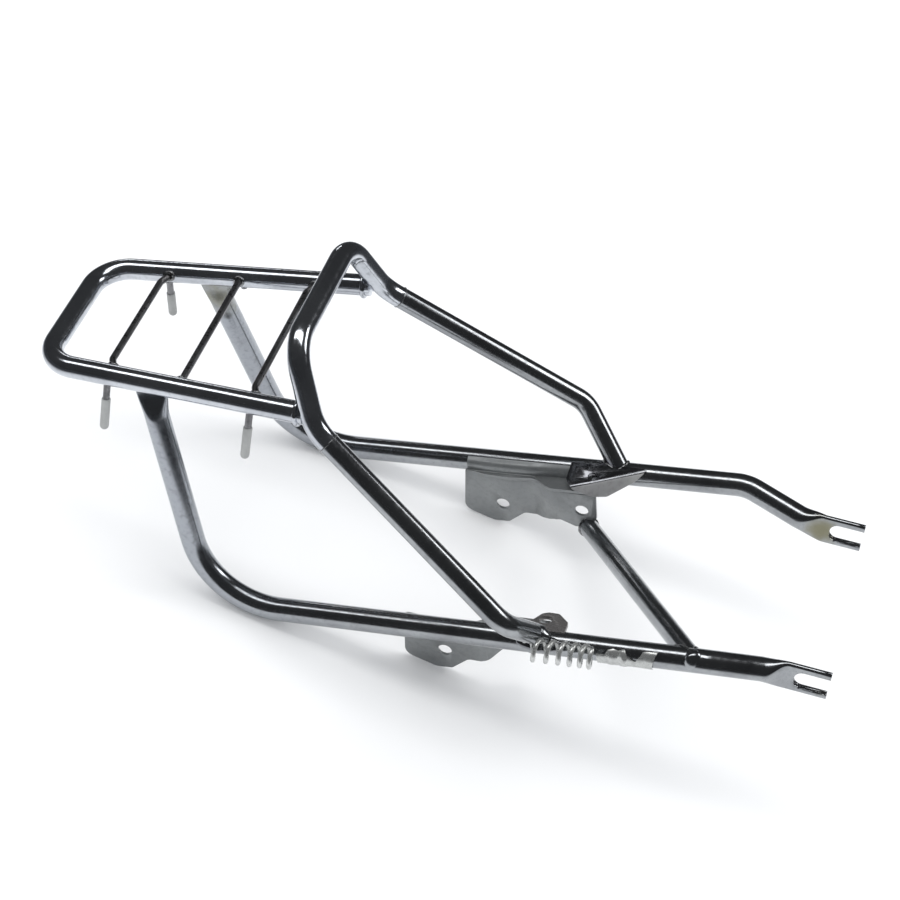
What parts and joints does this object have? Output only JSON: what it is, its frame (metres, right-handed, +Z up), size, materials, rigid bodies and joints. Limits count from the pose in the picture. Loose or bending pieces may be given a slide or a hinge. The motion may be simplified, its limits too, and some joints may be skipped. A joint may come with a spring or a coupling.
{
  "type": "rear luggage carrier",
  "caption": "Welded steel tube rear luggage carrier for a small motorcycle, with a level deck, a raised front hoop, two bracket plates and slotted fork ends",
  "frame": {"origin": "centre of the footprint at floor level, with the carrier standing on its two rear bends and the bottoms of its bracket plates", "axes": "+X forward, towards the slotted fork ends; +Z up; +Y to the carrier's left, the side of the larger lug; the rails rise towards +X"},
  "size_m": [0.6904, 0.283, 0.2838],
  "materials": {
    "plated_tube": "aged bright plating, darker on the underside",
    "bright_tube": "bright plating with light wear",
    "rod": "dull dark steel wire",
    "sleeve": "pale grey matte sleeve",
    "plated_plate": "dull plating with weld discolouration",
    "bracket_plate": "satin grey plated sheet",
    "spring_wire": "pale zinc with light corrosion"
  },
  "bodies": {
    "root": {"rail_left": "plated_tube", "rail_right": "plated_tube", "deck_loop": "bright_tube", "front_hoop": "bright_tube", "cross_rod_rear": "rod", "cross_rod_middle": "rod", "cross_rod_front": "rod", "peg_sleeve_rear_left": "sleeve", "peg_sleeve_rear_right": "sleeve", "peg_sleeve_front_left": "sleeve", "peg_sleeve_front_right": "sleeve", "stay_left": "plated_tube", "stay_right": "plated_tube", "stay_lug_left": "plated_plate", "stay_lug_right": "plated_plate", "bracket_left": "bracket_plate", "bracket_right": "bracket_plate", "cross_brace": "plated_tube", "coil_spring": "spring_wire", "spring_clip": "spring_wire"}
  },
  "joints": []
}
